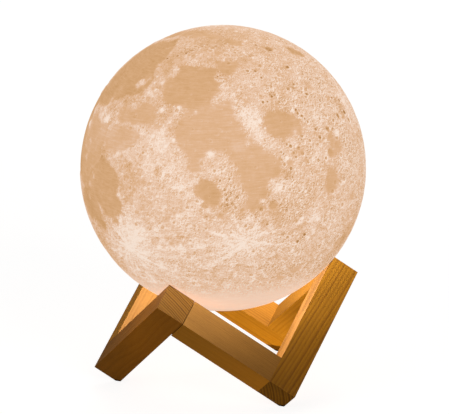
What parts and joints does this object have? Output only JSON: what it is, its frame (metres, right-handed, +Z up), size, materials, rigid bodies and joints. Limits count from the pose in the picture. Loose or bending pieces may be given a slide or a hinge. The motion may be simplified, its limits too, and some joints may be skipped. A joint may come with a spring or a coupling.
{
  "type": "moon lamp",
  "caption": "Printed moon ball night light, lit from inside, lying loose on a zig-zag stand of square wooden bars, with a push button and a charging socket in its base.",
  "frame": {"origin": "on the surface the three feet stand on, below the middle of the ball", "axes": "+Z up; the front of the lamp, which the picture shows, faces -Y; +X to the right seen from the front"},
  "size_m": [0.15, 0.15, 0.1904],
  "materials": {
    "moon_print": "fine 3D-printed relief, translucent, lit warm from inside",
    "bar_wood": "planed straight-grained softwood, clear matt oil",
    "dowel_wood": "fluted beech dowel, unfinished",
    "white_plastic": "fine-textured moulded plastic",
    "button_plastic": "satin moulded plastic",
    "black_plastic": "moulded epoxy",
    "screw_steel": "zinc plated",
    "switch_metal": "stamped cover",
    "socket_metal": "folded and tinned sheet",
    "clear_plastic": "clear moulded acrylic",
    "led_phosphor": "silicone over phosphor",
    "circuit_board": "solder mask over copper",
    "led_board_mask": "white solder mask over aluminium",
    "battery_wrap": "foil pouch",
    "foam": "closed-cell foam",
    "lead_insulation": "soft insulation"
  },
  "bodies": {
    "stand": {"long_bar_left": "bar_wood", "long_bar_right": "bar_wood", "long_bar_back": "bar_wood", "short_bar_front": "bar_wood", "short_bar_right": "bar_wood", "short_bar_left": "bar_wood", "peak_dowels": "dowel_wood", "foot_dowels": "dowel_wood"},
    "moon": {"moon_shell": "moon_print", "neck_ring": "white_plastic", "base_cap": "white_plastic", "cap_screws": "screw_steel", "tact_switch": "switch_metal", "charging_socket": "socket_metal", "indicator_light_pipe": "clear_plastic", "indicator_led": "led_phosphor", "control_board": "circuit_board", "board_chips": "black_plastic", "battery_housing": "white_plastic", "housing_screws": "screw_steel", "battery": "battery_wrap", "battery_foam": "foam", "battery_leads": "lead_insulation", "led_board": "led_board_mask", "led_chips": "led_phosphor", "led_screws": "screw_steel", "led_leads": "lead_insulation"},
    "button": {"power_button": "button_plastic", "switch_plunger": "black_plastic"}
  },
  "joints": [
    {"name": "moon_lift", "type": "slide", "parent": "stand", "child": "moon", "axis": [0, 0, 1], "range_m": [0, 0.06]},
    {"name": "button_press", "type": "slide", "parent": "moon", "child": "button", "axis": [0, 0, 1], "range_m": [0, 0.0008], "stiffness_N_per_m": 1500, "springref_m": -0.0004}
  ]
}
